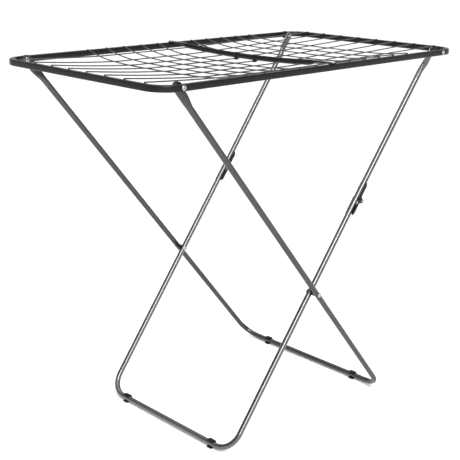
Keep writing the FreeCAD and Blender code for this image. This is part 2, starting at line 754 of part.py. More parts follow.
def make_knee(label, side):
    """Both brackets, their pin and the two rivets that hold them on the tubes."""
    y = side * value("dims.inner_knee_half")
    upper_inside = "dims.tube_radius + dims.bracket_slack"
    lower_inside = f"{upper_inside} + dims.bracket_nesting"
    make_knee_bracket(f"knee_bracket_upper_{label}", leg_frame(KNEE, INNER_SLOPE, y, FRONT),
                      upper_inside)
    make_knee_bracket(f"knee_bracket_lower_{label}", leg_frame(KNEE, INNER_SLOPE + 180, y),
                      lower_inside)
    rivet_line = along(KNEE, INNER_SLOPE - 90, value("dims.bracket_rivet_rise"))
    reach, shank = value("dims.bracket_rivet_place"), "dims.bracket_rivet_radius"
    fixings = (
        ("knee_pin", KNEE_PIN, "dims.rivet_radius", lower_inside),
        ("bracket_rivet_upper", along(rivet_line, INNER_SLOPE, reach), shank, upper_inside),
        ("bracket_rivet_lower", along(rivet_line, INNER_SLOPE, -reach), shank, lower_inside),
    )
    for kind, point, radius, inside in fixings:
        half = f"({inside} + dims.sheet_thickness + dims.pin_play)"
        start = value("dims.inner_knee_half") - value(half)
        rivet(f"{kind}_{label}", outwards(point, start, side), radius, f"2 * {half}",
              head_size=SMALL_HEAD)


# ------------------------------------------------------------ hinges and crossing

def ring(name, placement, length, outer):
    """A plain bush along Z."""
    tool = cylinder(name + "_bore", HOLE, f"2 * ({length})")
    tool.setExpression("Placement.Base.z", f"-({length}) / 2")
    feature = cut(name, cylinder(name + "_blank", outer, length), tool)
    return finish_subpart(feature, name, placement)


def make_hinge(kind, label, side, half_width, point):
    """The spacer between a leg's tab and the rail, and the rivet through all three."""
    tab_face = f"({half_width} + dims.tube_radius)"
    rail_face = "(dims.top_width / 2 - dims.rail_width)"
    ring(f"hinge_spacer_{kind}_{label}", outwards(point, value(f"{tab_face} + dims.fit_gap"), side),
         f"{rail_face} - {tab_face} - dims.fit_gap - dims.corner_clearance",
         "dims.hinge_spacer_radius")
    inner_end = f"({tab_face} - dims.tab_thickness - dims.fit_gap)"
    rivet(f"hinge_rivet_{kind}_{label}", outwards(point, value(inner_end), side),
          "dims.rivet_radius", f"dims.top_width / 2 + dims.fit_gap - {inner_end}")


def make_crossing(label, side):
    """The outer leg's rivet with its saddle-ended spacer, and the inner leg's rivet behind it."""
    outer_y, inner_y = value("dims.outer_half_width"), value(INNER_CROSSING_HALF)
    radius, gap = value("dims.tube_radius"), value("dims.fit_gap")
    inner_face = inner_y + radius + value("dims.part_line")
    name = f"crossing_spacer_{label}"
    between = f"dims.outer_half_width - {INNER_CROSSING_HALF}"
    blank = cylinder(name + "_blank", "dims.spacer_radius",
                     f"{between} - dims.tube_radius - dims.part_line")
    saddle = cylinder(name + "_saddle", "dims.tube_radius + dims.pin_play", "4 * dims.tube_radius")
    saddle.Placement = Placement(Vector(-2 * radius, 0, outer_y - inner_face),
                                 Rotation(Vector(0, 1, 0), 90))
    bore = cylinder(name + "_bore", HOLE, "4 * dims.tube_radius")
    bore.Placement.Base.z = -radius
    shape = cut(name, cut(name + "_end", blank, saddle), bore)
    placement = outwards(CROSSING, inner_face, side)
    lean = Rotation(Vector(0, 0, 1), -side * OUTER_SLOPE)
    finish_subpart(shape, name, Placement(placement.Base, placement.Rotation.multiply(lean)))
    rivet(f"crossing_rivet_outer_{label}", placement, "dims.rivet_radius",
          f"{between} + dims.pin_play", heads=("last",))
    rivet(f"crossing_rivet_inner_{label}", outwards(CROSSING, inner_y - radius - gap, side),
          "dims.rivet_radius", "2 * dims.tube_radius + dims.fit_gap", heads=("first",))


# ------------------------------------------------------------ the feet

def make_foot(name, point, side):
    """A plastic clip on the foot bar, open towards -X and flat under the bar."""
    x, z = point
    y = side * value("dims.foot_place")
    length, r, mouth = (value("dims." + key) for key in ("foot_length", "foot_radius", "foot_mouth"))
    across = Rotation(Vector(1, 0, 0), -90)
    blank = cylinder(name + "_blank", "dims.foot_radius", "dims.foot_length",
                     Placement(Vector(x, y - length / 2, z), across))
    bore = cylinder(name + "_bore", "dims.tube_radius + dims.pin_play", "2 * dims.foot_length",
                    Placement(Vector(x, y - length, z), across))
    opening = doc.addObject("Part::Box", name + "_mouth")
    bind(opening, Length="2 * dims.foot_radius", Width="2 * dims.foot_length", Height="dims.foot_mouth")
    opening.Placement.Base = Vector(x - 2 * r, y - length, z - mouth / 2)
    under = doc.addObject("Part::Box", name + "_under")
    bind(under, Length="4 * dims.foot_radius", Width="2 * dims.foot_length", Height="dims.foot_radius")
    under.Placement.Base = Vector(x - 2 * r, y - length, -r)
    feature = cut(name, blank, fuse(name + "_cutters", [bore, opening, under]))
    return finish_subpart(feature, name)


# ------------------------------------------------------------ assembly

make_top_frame()
make_crossbar()
make_long_wires()
make_cross_wires("cross_wires_left", -1)
make_cross_wires("cross_wires_right", 1)
make_wire_clips()
make_outer_leg()
make_inner_leg_lower()
for label, side in SIDES.items():
    make_crossbar_rivet(f"crossbar_rivet_{label}", side)
    make_hinge("outer", label, side, "dims.outer_half_width", OUTER_HINGE)
    make_hinge("inner", label, side, "dims.inner_hinge_half", INNER_HINGE)
    make_crossing(label, side)
    make_inner_leg_upper(f"inner_leg_upper_{label}", side)
    make_knee(label, side)
    make_foot(f"foot_outer_{label}", OUTER_FOOT, side)
    make_foot(f"foot_inner_{label}", INNER_FOOT, side)
doc.recompute()

# ------------------------------------------------------------ checks and export

for item in doc.Objects:
    assert not {"Invalid", "Error"} & set(item.State), f"{item.Label}: {item.State}"
for item in subparts:
    assert not item.Shape.isNull() and item.Shape.isValid(), item.Label + " has no valid shape"

os.makedirs("parts", exist_ok=True)
for item in subparts:
    item.Shape.exportStep(f"parts/{item.Label}.step")
    box = item.Shape.BoundBox
    lengths = f"{box.XLength:.1f} x {box.YLength:.1f} x {box.ZLength:.1f}"
    print(f"{item.Label}: {len(item.Shape.Solids)} solids, {lengths}")
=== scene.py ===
import json
import math
import random

import bmesh
import bpy
from mathutils import Matrix, Vector


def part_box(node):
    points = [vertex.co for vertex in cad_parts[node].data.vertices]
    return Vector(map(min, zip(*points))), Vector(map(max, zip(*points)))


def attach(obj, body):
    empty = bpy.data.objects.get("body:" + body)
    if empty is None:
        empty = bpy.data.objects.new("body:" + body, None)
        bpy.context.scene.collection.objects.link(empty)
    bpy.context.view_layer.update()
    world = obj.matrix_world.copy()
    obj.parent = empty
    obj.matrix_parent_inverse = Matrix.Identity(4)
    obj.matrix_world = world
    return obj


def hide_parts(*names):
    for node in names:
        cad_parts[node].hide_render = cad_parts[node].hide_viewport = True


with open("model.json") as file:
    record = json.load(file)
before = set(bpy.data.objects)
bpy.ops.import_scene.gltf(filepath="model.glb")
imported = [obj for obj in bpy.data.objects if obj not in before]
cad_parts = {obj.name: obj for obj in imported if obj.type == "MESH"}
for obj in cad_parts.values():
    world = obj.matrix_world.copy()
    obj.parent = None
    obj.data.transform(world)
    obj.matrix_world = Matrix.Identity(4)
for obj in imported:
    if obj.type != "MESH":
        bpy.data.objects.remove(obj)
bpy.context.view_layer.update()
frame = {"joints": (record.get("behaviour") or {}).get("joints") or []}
random.seed(7)

MM = 0.001
X, Y, Z = Vector((1, 0, 0)), Vector((0, 1, 0)), Vector((0, 0, 1))
FRONT, BACK = -1, 1
SIDES = {"front": FRONT, "back": BACK}
QUARTER = math.pi / 2
CORNERS = ((1, 1), (-1, 1), (-1, -1), (1, -1))

# ------------------------------------------------------------ the camera

CAMERA_PLACE = Vector((-1.6555, -1.6277, 1.188))
CAMERA_YAW = math.radians(44.84)
CAMERA_PITCH = math.radians(-17.48)
CAMERA_ROLL = math.radians(0.77)
FOCAL_LENGTH = 74.56
SENSOR = 36.0


def make_camera():
    """A camera a little above the top, looking down at the rack over its front left corner."""
    forward = Vector((
        math.sin(CAMERA_YAW) * math.cos(CAMERA_PITCH),
        math.cos(CAMERA_YAW) * math.cos(CAMERA_PITCH),
        math.sin(CAMERA_PITCH),
    ))
    level = Vector((math.cos(CAMERA_YAW), -math.sin(CAMERA_YAW), 0))
    upright = level.cross(forward)
    right = level * math.cos(CAMERA_ROLL) + upright * math.sin(CAMERA_ROLL)
    up = upright * math.cos(CAMERA_ROLL) - level * math.sin(CAMERA_ROLL)
    data = bpy.data.cameras.new("camera")
    data.sensor_width = SENSOR
    data.lens = FOCAL_LENGTH
    camera = bpy.data.objects.new("camera", data)
    turn = Matrix((right, up, -forward)).transposed().to_4x4()
    camera.matrix_world = Matrix.Translation(CAMERA_PLACE) @ turn
    bpy.context.scene.collection.objects.link(camera)
    bpy.context.scene.camera = camera


make_camera()

# ------------------------------------------------------------ sizes read from the frame


def centre(node):
    low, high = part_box(node)
    return (low + high) / 2


def extent(node):
    low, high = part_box(node)
    return high - low


def joint_place(name):
    return next(Vector(j["pos_m"]) for j in frame["joints"] if j["name"] == name)


TUBE = 7 * MM
INNER_LEAN = 6 * MM
RAIL_LOW, RAIL_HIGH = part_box("top_frame")
OUTER_LEG_LOW, OUTER_LEG_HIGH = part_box("outer_leg")
INNER_LEG_LOW, INNER_LEG_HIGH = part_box("inner_leg_lower")
OUTER_HINGE = joint_place("outer_leg_fold")
INNER_HINGE = joint_place("inner_leg_fold")
KNEE_PIN = joint_place("knee_fold")
OUTER_HALF = OUTER_LEG_HIGH.y - TUBE
INNER_KNEE_HALF = INNER_LEG_HIGH.y - TUBE
INNER_HINGE_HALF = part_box("inner_leg_upper_back")[1].y - TUBE
INNER_FOOT_HALF = INNER_KNEE_HALF - INNER_LEAN
OUTER_FOOT = Vector((OUTER_LEG_HIGH.x - TUBE, 0, OUTER_LEG_LOW.z + TUBE))
INNER_FOOT = Vector((INNER_LEG_LOW.x + TUBE, 0, INNER_LEG_LOW.z + TUBE))

BEND = 50 * MM
TAB_HALF_THICKNESS = 2.5 * MM
TAB_RADIUS = 10.5 * MM
TAB_LENGTH = 28 * MM
TAPER_LENGTH = 38 * MM
RAIL_WIDTH = 14 * MM
RAIL_EDGE = 3 * MM
CORNER_RADIUS = 55 * MM

# ------------------------------------------------------------ mesh helpers

SHARP = 40.0
SHARP_ON_SMALL_PARTS = 50.0
FULLY_ROUND = 0.999
FINE_STEPS = 4


def add_piece(name, shell, material, body, node, sharp=SHARP):
    """A smooth mesh piece that rides on a body and stands for its CAD node."""
    mesh = bpy.data.meshes.new(name)
    mesh.from_pydata([tuple(v) for v in shell.verts], [], shell.faces)
    shape = bmesh.new()
    shape.from_mesh(mesh)
    bmesh.ops.recalc_face_normals(shape, faces=shape.faces)
    shape.to_mesh(mesh)
    shape.free()
    mesh.shade_smooth()
    mesh.set_sharp_from_angle(angle=math.radians(sharp))
    mesh.materials.append(material)
    piece = bpy.data.objects.new(name, mesh)
    bpy.context.scene.collection.objects.link(piece)
    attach(piece, body)
    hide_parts(node)


class Shell:
    """Collects rings, lathes and plates into one vertex and face list."""

    def __init__(self):
        self.verts = []
        self.faces = []

    def loft(self, rings, closed=False):
        """Skin a row of equal rings; an open row gets a cap at each end."""
        start, count, size = len(self.verts), len(rings), len(rings[0])
        for ring in rings:
            self.verts.extend(ring)
        for i in range(count if closed else count - 1):
            here, there = start + i * size, start + (i + 1) % count * size
            for k in range(size):
                after = (k + 1) % size
                self.faces.append((here + k, here + after, there + after, there + k))
        if not closed:
            self.faces.append(tuple(range(start, start + size)))
            self.faces.append(tuple(range(start + (count - 1) * size, start + count * size)))

    def lathe(self, profile, origin, axis, steps=32):
        """Turn (reach along the axis, radius) pairs into a closed solid of revolution."""
        side = axis.orthogonal().normalized()
        up = axis.cross(side).normalized()
        rings = []
        for reach, radius in profile:
            middle = origin + axis * reach
            rings.append([middle + (side * math.cos(a) + up * math.sin(a)) * radius
                          for a in (2 * math.pi * k / steps for k in range(steps))])
        self.loft(rings)

    def bush(self, profile, origin, axis, steps=32):
        """A ring-shaped solid of revolution from a closed profile."""
        side = axis.orthogonal().normalized()
        up = axis.cross(side).normalized()
        rings = []
        for k in range(steps):
            a = 2 * math.pi * k / steps
            spoke = side * math.cos(a) + up * math.sin(a)
            rings.append([origin + axis * reach + spoke * radius for reach, radius in profile])
        self.loft(rings, closed=True)

    def blob(self, place, size, steps=10):
        """A small ellipsoid, such as a weld bead."""
        start = len(self.verts)
        rows = steps // 2
        self.verts.append(place - Vector((0, 0, size.z)))
        for i in range(1, rows):
            lift = -math.cos(math.pi * i / rows)
            reach = math.sin(math.pi * i / rows)
            for k in range(steps):
                a = 2 * math.pi * k / steps
                offset = (size.x * reach * math.cos(a), size.y * reach * math.sin(a), size.z * lift)
                self.verts.append(place + Vector(offset))
        self.verts.append(place + Vector((0, 0, size.z)))
        last = len(self.verts) - 1
        for k in range(steps):
            after = (k + 1) % steps
            self.faces.append((start, start + 1 + after, start + 1 + k))
            base = start + 1 + (rows - 2) * steps
            self.faces.append((last, base + k, base + after))
            for i in range(rows - 2):
                low, high = start + 1 + i * steps, start + 1 + (i + 1) * steps
                self.faces.append((low + k, low + after, high + after, high + k))


def section(half_a, half_b, radius, steps=7):
    """Corner points of a rounded rectangle as (a, b) pairs, going round once."""
    points = []
    for turn, (sa, sb) in enumerate(CORNERS):
        for k in range(steps):
            angle = QUARTER * (turn + (k + 0.5) / steps)
            points.append((sa * (half_a - radius) + radius * math.cos(angle),
                           sb * (half_b - radius) + radius * math.sin(angle)))
    return points


def ring_at(place, a_axis, b_axis, half_a, half_b, radius, steps=7):
    return [place + a_axis * a + b_axis * b for a, b in section(half_a, half_b, radius, steps)]


def smoothstep(share):
    share = min(1.0, max(0.0, share))
    return share * share * (3 - 2 * share)


def mix(first, last, share):
    return first + (last - first) * share


# ------------------------------------------------------------ materials


class Nodes:
    """Short calls for building a node material on a Principled shader."""

    def __init__(self, name):
        self.material = bpy.data.materials.new(name)
        self.material.use_nodes = True
        self.tree = self.material.node_tree
        self.shader = self.tree.nodes["Principled BSDF"]
        self.place = self.tree.nodes.new("ShaderNodeTexCoord").outputs["Object"]

    def add(self, kind, **inputs):
        node = self.tree.nodes.new(kind)
        for socket, content in inputs.items():
            self.feed(node.inputs[socket.replace("_", " ")], content)
        return node

    def feed(self, socket, content):
        if isinstance(content, bpy.types.NodeSocket):
            self.tree.links.new(content, socket)
        else:
            socket.default_value = content

    def noise(self, scale, detail=4.0, roughness=0.5, stretch=None):
        place = self.place
        if stretch:
            mapping = self.add("ShaderNodeMapping", Vector=place, Scale=stretch)
            place = mapping.outputs["Vector"]
        return self.add("ShaderNodeTexNoise", Vector=place, Scale=scale, Detail=detail,
                        Roughness=roughness).outputs["Fac"]

    def ramp(self, factor, low, high, first, last):
        node = self.add("ShaderNodeMapRange", Value=factor, From_Min=low, From_Max=high,
                        To_Min=first, To_Max=last)
        return node.outputs["Result"]

    def blend(self, factor, first, last):
        node = self.tree.nodes.new("ShaderNodeMix")
        node.data_type = "RGBA"
        self.feed(node.inputs[0], factor)
        self.feed(node.inputs[6], first)
        self.feed(node.inputs[7], last)
        return node.outputs[2]

    def bump(self, height, strength, distance, normal=None):
        node = self.add("ShaderNodeBump", Height=height, Strength=strength, Distance=distance)
        if normal:
            self.feed(node.inputs["Normal"], normal)
        return node.outputs["Normal"]

    def set(self, **inputs):
        for socket, content in inputs.items():
            self.feed(self.shader.inputs[socket.replace("_", " ")], content)


def grey(level, tint=0.0):
    return (level, level * (1 + tint / 2), level * (1 + tint), 1.0)


def painted_metal(name, level, fleck, metallic, roughness, coat, gloss):
    """Baked enamel on steel: fine orange peel, metallic flecks and faint handling scuffs."""
    n = Nodes(name)
    flecks = n.ramp(n.noise(scale=2600.0, detail=2.0), 0.42, 0.64, 0.0, 1.0)
    clouds = n.ramp(n.noise(scale=18.0, detail=5.0, roughness=0.6), 0.3, 0.7, 0.0, 1.0)
    base = n.blend(flecks, grey(level, 0.05), grey(level * fleck, 0.04))
    shaded = n.blend(clouds, grey(level * 0.9, 0.05), base)
    streaks = n.noise(scale=140.0, detail=8.0, roughness=0.75, stretch=(1.0, 1.0, 0.25))
    scuffs = n.ramp(streaks, 0.66, 0.76, 0.0, 0.2)
    n.set(Base_Color=n.blend(scuffs, shaded, grey(min(1.0, level * 2.1), 0.03)))
    wear = n.noise(scale=60.0, detail=6.0, roughness=0.6)
    n.set(Roughness=n.ramp(wear, 0.25, 0.75, roughness * 0.85, roughness * 1.2))
    n.set(Metallic=metallic, Coat_Weight=coat, Coat_Roughness=0.16, Specular_IOR_Level=gloss)
    peel = n.bump(n.noise(scale=150.0, detail=2.0), strength=0.010, distance=0.0003)
    grain = n.noise(scale=2400.0, detail=2.0)
    n.set(Normal=n.bump(grain, strength=0.006, distance=0.0001, normal=peel))
    return n.material


def moulded_plastic(name, level, roughness):
    """Black moulded plastic with a fine spark-eroded grain."""
    n = Nodes(name)
    clouds = n.ramp(n.noise(scale=40.0, detail=5.0), 0.3, 0.7, 0.0, 1.0)
    n.set(Base_Color=n.blend(clouds, grey(level), grey(level * 1.5)))
    wear = n.noise(scale=300.0, detail=4.0)
    n.set(Roughness=n.ramp(wear, 0.3, 0.7, roughness * 0.85, roughness * 1.15))
    grain = n.noise(scale=2200.0, detail=3.0)
    n.set(Specular_IOR_Level=0.15, Normal=n.bump(grain, strength=0.25, distance=0.0002))
    return n.material


def bright_steel(name, level):
    """Zinc-plated rivet steel with fine turning marks and dull patches."""
    n = Nodes(name)
    patches = n.ramp(n.noise(scale=420.0, detail=6.0, roughness=0.65), 0.35, 0.7, 0.0, 1.0)
    n.set(Base_Color=n.blend(patches, grey(level), grey(level * 0.72, 0.03)))
    n.set(Roughness=n.ramp(n.noise(scale=900.0, detail=4.0), 0.3, 0.7, 0.2, 0.38), Metallic=1.0)
    turning = n.noise(scale=1500.0, detail=4.0, roughness=0.6, stretch=(1.0, 6.0, 1.0))
    n.set(Normal=n.bump(turning, strength=0.2, distance=0.0001))
    return n.material


def floor_paint(name):
    """Matt white paint with hardly visible clouds."""
    n = Nodes(name)
    clouds = n.ramp(n.noise(scale=1.5, detail=4.0), 0.3, 0.7, 0.0, 1.0)
    n.set(Base_Color=n.blend(clouds, grey(0.88), grey(0.90)))
    n.set(Roughness=n.ramp(n.noise(scale=8.0, detail=4.0), 0.3, 0.7, 0.75, 0.85))
    n.set(Specular_IOR_Level=0.0)
    return n.material


TOP_PAINT = painted_metal("top_paint", level=0.004, fleck=1.4, metallic=0.02,
                          roughness=0.34, coat=0.02, gloss=0.18)
WIRE_PAINT = painted_metal("wire_paint", level=0.035, fleck=1.4, metallic=0.25,
                           roughness=0.38, coat=0.10, gloss=0.4)
# The outer leg's paint level is darker than the inner leg's. Part of that is the paint's own colour,
# and part is painted shade standing in for the dim surroundings its tubes mirror and the shadow under
# the top.
OUTER_LEG_PAINT_AND_SHADE = painted_metal("outer_leg_paint", level=0.07, fleck=1.2, metallic=1.0,
                                roughness=0.26, coat=0.0, gloss=0.3)
INNER_LEG_PAINT = painted_metal("inner_leg_paint", level=0.12, fleck=1.1, metallic=0.95,
                                roughness=0.24, coat=0.15, gloss=0.5)
BRACKET_PAINT = painted_metal("bracket_paint", level=0.006, fleck=1.4, metallic=0.0,
                              roughness=0.45, coat=0.0, gloss=0.2)
BLACK_PLASTIC = moulded_plastic("black_plastic", level=0.005, roughness=0.5)
RIVET_STEEL = bright_steel("rivet_steel", level=0.42)

# ------------------------------------------------------------ the top frame


def loop_around(half_x, half_y, radius, z, steps=14):
    """Places and outward directions round a rectangle with rounded corners."""
    stations = []
    for turn, (sx, sy) in enumerate(CORNERS):
        middle = Vector((sx * (half_x - radius), sy * (half_y - radius), z))
        for k in range(steps):
            angle = QUARTER * (turn + k / (steps - 1))
            outward = Vector((math.cos(angle), math.sin(angle), 0))
            stations.append((middle + outward * radius, outward))
    return stations


def make_top_rail():
    """Flat-sided tube with rounded edges, bent into one closed loop."""
    half_z = (RAIL_HIGH.z - RAIL_LOW.z) / 2
    inset = RAIL_WIDTH / 2
    shell = Shell()
    stations = loop_around(RAIL_HIGH.x - inset, RAIL_HIGH.y - inset, CORNER_RADIUS - inset,
                           RAIL_HIGH.z - half_z)
    rings = [ring_at(place, outward, Z, inset, half_z, RAIL_EDGE) for place, outward in stations]
    shell.loft(rings, closed=True)
    add_piece("top_rail", shell, TOP_PAINT, "top_frame", "top_frame")


# ------------------------------------------------------------ the net

WIRE = 1.5 * MM
WIRE_SINK = 0.3 * MM
NET_TOP = RAIL_HIGH.z + WIRE - WIRE_SINK
WIRE_CLIPPED = 2.5 * MM
WIRE_END_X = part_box("long_wires")[1].x - WIRE_CLIPPED
WIRE_END_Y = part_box("cross_wires_left")[1].y - WIRE_CLIPPED
NET_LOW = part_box("long_wires")[0].z + WIRE
NET_DEPTH = NET_TOP - NET_LOW
RAIL_INSIDE_X = RAIL_HIGH.x - RAIL_WIDTH
RAIL_INSIDE_Y = RAIL_HIGH.y - RAIL_WIDTH
LONG_WIRES = 8
CROSS_WIRES = 5
CROSSBAR_X = centre("middle_crossbar").x
SAG_POWER = 4
LEFT_CURVE = 0.35
FIRST_STOP = 22 * MM
LEFT_STOPS = 6
PAST_LAST_WIRE = 40 * MM
LAST_STOP = 30 * MM
RIGHT_STOPS = 3
TIP_RADIUS = 0.6
TIP_LENGTH = 0.4
BEAD = Vector((1.1, 1.1, 0.6)) * WIRE
BEAD_STRETCH = 1.5
BEAD_SPREAD = 0.15


def spread(low, high, count):
    return [mix(low, high, i / (count - 1)) for i in range(count)]


def wire_places(node, axis, count):
    """Middles of a node's wires along an axis, evenly spaced from its first wire to its last."""
    low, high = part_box(node)
    return spread(low[axis] + WIRE, high[axis] - WIRE, count)


LONG_PLACES = wire_places("long_wires", 1, LONG_WIRES)
LEFT_PLACES = wire_places("cross_wires_left", 0, CROSS_WIRES)
RIGHT_PLACES = wire_places("cross_wires_right", 0, CROSS_WIRES)


def sag_across(y):
    """Share of the net's depth along Y, nearly level in the middle."""
    return 1 - (abs(y) / RAIL_INSIDE_Y) ** SAG_POWER


def sag_along(x):
    """Share of the net's depth along X; the left end curves down, the right end runs straight up."""
    left, right = LEFT_PLACES[0], CROSSBAR_X
    if x < left:
        share = max(0.0, (x + RAIL_INSIDE_X) / (left + RAIL_INSIDE_X))
        return mix(share, 1 - (1 - share) ** 2, LEFT_CURVE)
    if x > right:
        return max(0.0, (RAIL_INSIDE_X - x) / (RAIL_INSIDE_X - right))
    return 1.0


def net_height(x, y):
    return NET_TOP - NET_DEPTH * sag_along(x) * sag_across(y)


def smooth_path(points, passes=2):
    """Cut the corners of a path again and again, which rounds it; its ends stay."""
    for _ in range(passes):
        rounded = [points[0]]
        for here, there in zip(points, points[1:]):
            rounded.extend((here.lerp(there, 0.25), here.lerp(there, 0.75)))
        rounded.append(points[-1])
        points = rounded
    return points


def wire_along(shell, points, radius, steps=10):
    """A round wire through the points, with softly rounded ends."""
    rings = []
    count = len(points)
    angles = [2 * math.pi * k / steps for k in range(steps)]
    circle = [(math.cos(angle), math.sin(angle)) for angle in angles]
    for i, place in enumerate(points):
        ahead = points[min(i + 1, count - 1)] - points[max(i - 1, 0)]
        ahead.normalize()
        side = ahead.cross(Z).normalized()
        up = side.cross(ahead).normalized()
        tip = [place + (side * c + up * s) * radius * TIP_RADIUS for c, s in circle]
        if i == 0:
            rings.append(tip)
            place = place + ahead * radius * TIP_LENGTH
        if i == count - 1:
            place = place - ahead * radius * TIP_LENGTH
        rings.append([place + (side * c + up * s) * radius for c, s in circle])
        if i == count - 1:
            rings.append(tip)
    shell.loft(rings)


def weld_bead(shell, place, along):
    """A slightly uneven bead, longer along one axis."""
    size = [BEAD[i] * (BEAD_STRETCH if along[i] else 1.0)
            * random.uniform(1 - BEAD_SPREAD, 1 + BEAD_SPREAD) for i in range(3)]
    shell.blob(place, Vector(size))


def make_long_wires():
    """The wires along X, welded on top of the short rails at both ends."""
    left_end = spread(-RAIL_INSIDE_X + FIRST_STOP, LEFT_PLACES[0], LEFT_STOPS)
    right_end = spread(RIGHT_PLACES[-1] + PAST_LAST_WIRE, RAIL_INSIDE_X - LAST_STOP, RIGHT_STOPS)
    stops = sorted([*left_end, *LEFT_PLACES[1:], CROSSBAR_X, *RIGHT_PLACES, *right_end])
    shell = Shell()
    for y in LONG_PLACES:
        points = [Vector((-WIRE_END_X, y, NET_TOP)), Vector((-RAIL_INSIDE_X, y, NET_TOP))]
        points += [Vector((x, y, net_height(x, y))) for x in stops]
        points += [Vector((RAIL_INSIDE_X, y, NET_TOP)), Vector((WIRE_END_X, y, NET_TOP))]
        wire_along(shell, smooth_path(points), WIRE)
        for end in (-1, 1):
            weld_bead(shell, Vector((end * (RAIL_INSIDE_X + WIRE_END_X) / 2, y, RAIL_HIGH.z)), X)
    add_piece("net_long_wires", shell, WIRE_PAINT, "top_frame", "long_wires")


def make_cross_wires(name, places):
    """The wires along Y, which run under the long wires and over the long rails."""
    weld = 2 * WIRE - WIRE_SINK
    shell = Shell()
    for x in places:
        points = [Vector((x, -WIRE_END_Y, NET_TOP)), Vector((x, -RAIL_INSIDE_Y, NET_TOP))]
        points += [Vector((x, y, net_height(x, y) - weld)) for y in LONG_PLACES]
        points += [Vector((x, RAIL_INSIDE_Y, NET_TOP)), Vector((x, WIRE_END_Y, NET_TOP))]
        wire_along(shell, smooth_path(points, passes=3), WIRE)
        for y in LONG_PLACES:
            weld_bead(shell, Vector((x, y, net_height(x, y) - weld / 2)), Z)
        for end in (FRONT, BACK):
            weld_bead(shell, Vector((x, end * (RAIL_INSIDE_Y + WIRE_END_Y) / 2, RAIL_HIGH.z)), Y)
    add_piece("net_" + name, shell, WIRE_PAINT, "top_frame", name)


# ------------------------------------------------------------ the crossbar

CROSSBAR_RADIUS = 6.5 * MM
CROSSBAR_TAB = 1.5 * MM
CROSSBAR_TAB_HALF = 9 * MM
CROSSBAR_ROUND = 200 * MM
CROSSBAR_TAPER = 35 * MM
CROSSBAR_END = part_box("middle_crossbar")[1].y
CROSSBAR_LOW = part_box("middle_crossbar")[0].z + CROSSBAR_RADIUS
CROSSBAR_DIP = 6.5 * MM
CROSSBAR_NOSE = 0.8 * CROSSBAR_TAB_HALF
CROSSBAR_RINGS = 25
CROSSBAR_TAPER_RINGS = 12
NOSE_STEPS = 8
NOSE_FULLNESS = 0.94
NOSE_TIP = 0.25


def crossbar_height(y):
    """The round part hangs in a shallow arc between its ends."""
    share = min(1.0, abs(y) / CROSSBAR_ROUND)
    return CROSSBAR_LOW + CROSSBAR_DIP * share * share


def make_crossbar():
    """A round tube whose flattened ends lie on the long rails."""
    tab_z = RAIL_HIGH.z + CROSSBAR_TAB
    taper_end = CROSSBAR_ROUND + CROSSBAR_TAPER
    stops = spread(-CROSSBAR_ROUND, CROSSBAR_ROUND, CROSSBAR_RINGS)
    outer = spread(CROSSBAR_ROUND, taper_end, CROSSBAR_TAPER_RINGS)[1:]
    nose = CROSSBAR_END - CROSSBAR_NOSE
    curve = [nose + (CROSSBAR_END - nose) * math.sin(QUARTER * k / NOSE_STEPS)
             for k in range(NOSE_STEPS + 1)]
    stops = sorted([*(-y for y in curve), *(-y for y in outer), *stops, *outer, *curve])
    rings = []
    for y in stops:
        reach = abs(y)
        share = smoothstep((reach - CROSSBAR_ROUND) / CROSSBAR_TAPER)
        half_x = mix(CROSSBAR_RADIUS, CROSSBAR_TAB_HALF, share)
        half_z = mix(CROSSBAR_RADIUS, CROSSBAR_TAB, share)
        z = mix(crossbar_height(y), tab_z, share)
        if reach > nose:
            across = (reach - nose) / (CROSSBAR_END - nose)
            half_x *= max(NOSE_TIP, math.sqrt(max(0.0, 1 - across * across * NOSE_FULLNESS)))
        radius = min(half_x, half_z) * FULLY_ROUND
        rings.append(ring_at(Vector((CROSSBAR_X, y, z)), X, Z, half_x, half_z, radius))
    shell = Shell()
    shell.loft(rings)
    add_piece("crossbar", shell, TOP_PAINT, "top_frame", "middle_crossbar")


# ------------------------------------------------------------ the legs

TAB_TIP = 0.12
ROUND_RINGS = 24
TAPER_RINGS = 14
TAB_RINGS = 4
TIP_RINGS = 10


def leg_axes(foot, hinge):
    """Directions up a leg and square to it, both in the side view."""
    up = Vector((hinge.x - foot.x, 0, hinge.z - foot.z)).normalized()
    return up, up.cross(Y)


def arm_section(reach, length):
    """Half thickness, half width, edge radius and outward shift of an arm at a reach."""
    taper_start = length - TAB_LENGTH - TAPER_LENGTH
    share = smoothstep((reach - taper_start) / TAPER_LENGTH)
    thin, wide = mix(TUBE, TAB_HALF_THICKNESS, share), mix(TUBE, TAB_RADIUS, share)
    if reach > length:
        past = min(1.0, (reach - length) / TAB_RADIUS)
        wide = max(TAB_TIP * TAB_RADIUS, TAB_RADIUS * math.sqrt(max(0.0, 1 - past * past)))
        thin = min(thin, wide)
    return thin, wide, min(thin, wide) * FULLY_ROUND, share * (TUBE - TAB_HALF_THICKNESS)


def arm_stops(start, length):
    """Reaches at which an arm's rings stand: few on the round tube, many over the flat end."""
    taper_start = length - TAB_LENGTH - TAPER_LENGTH
    stops = spread(start, taper_start, ROUND_RINGS)
    stops += spread(taper_start, length - TAB_LENGTH, TAPER_RINGS)[1:]
    stops += spread(length - TAB_LENGTH, length, TAB_RINGS)[1:]
    stops += [length + TAB_RADIUS * math.sin(QUARTER * k / TIP_RINGS) for k in range(1, TIP_RINGS + 1)]
    return stops


def arm_rings(foot, up, square, half_at, side, stops, length):
    """Rings up one arm, whose distance from the middle is given by half_at."""
    rings = []
    for reach in stops:
        thin, wide, radius, shift = arm_section(reach, length)
        place = foot + up * reach + Y * side * (half_at(reach) + shift)
        rings.append(ring_at(place, Y * side, square, thin, wide, radius))
    return rings


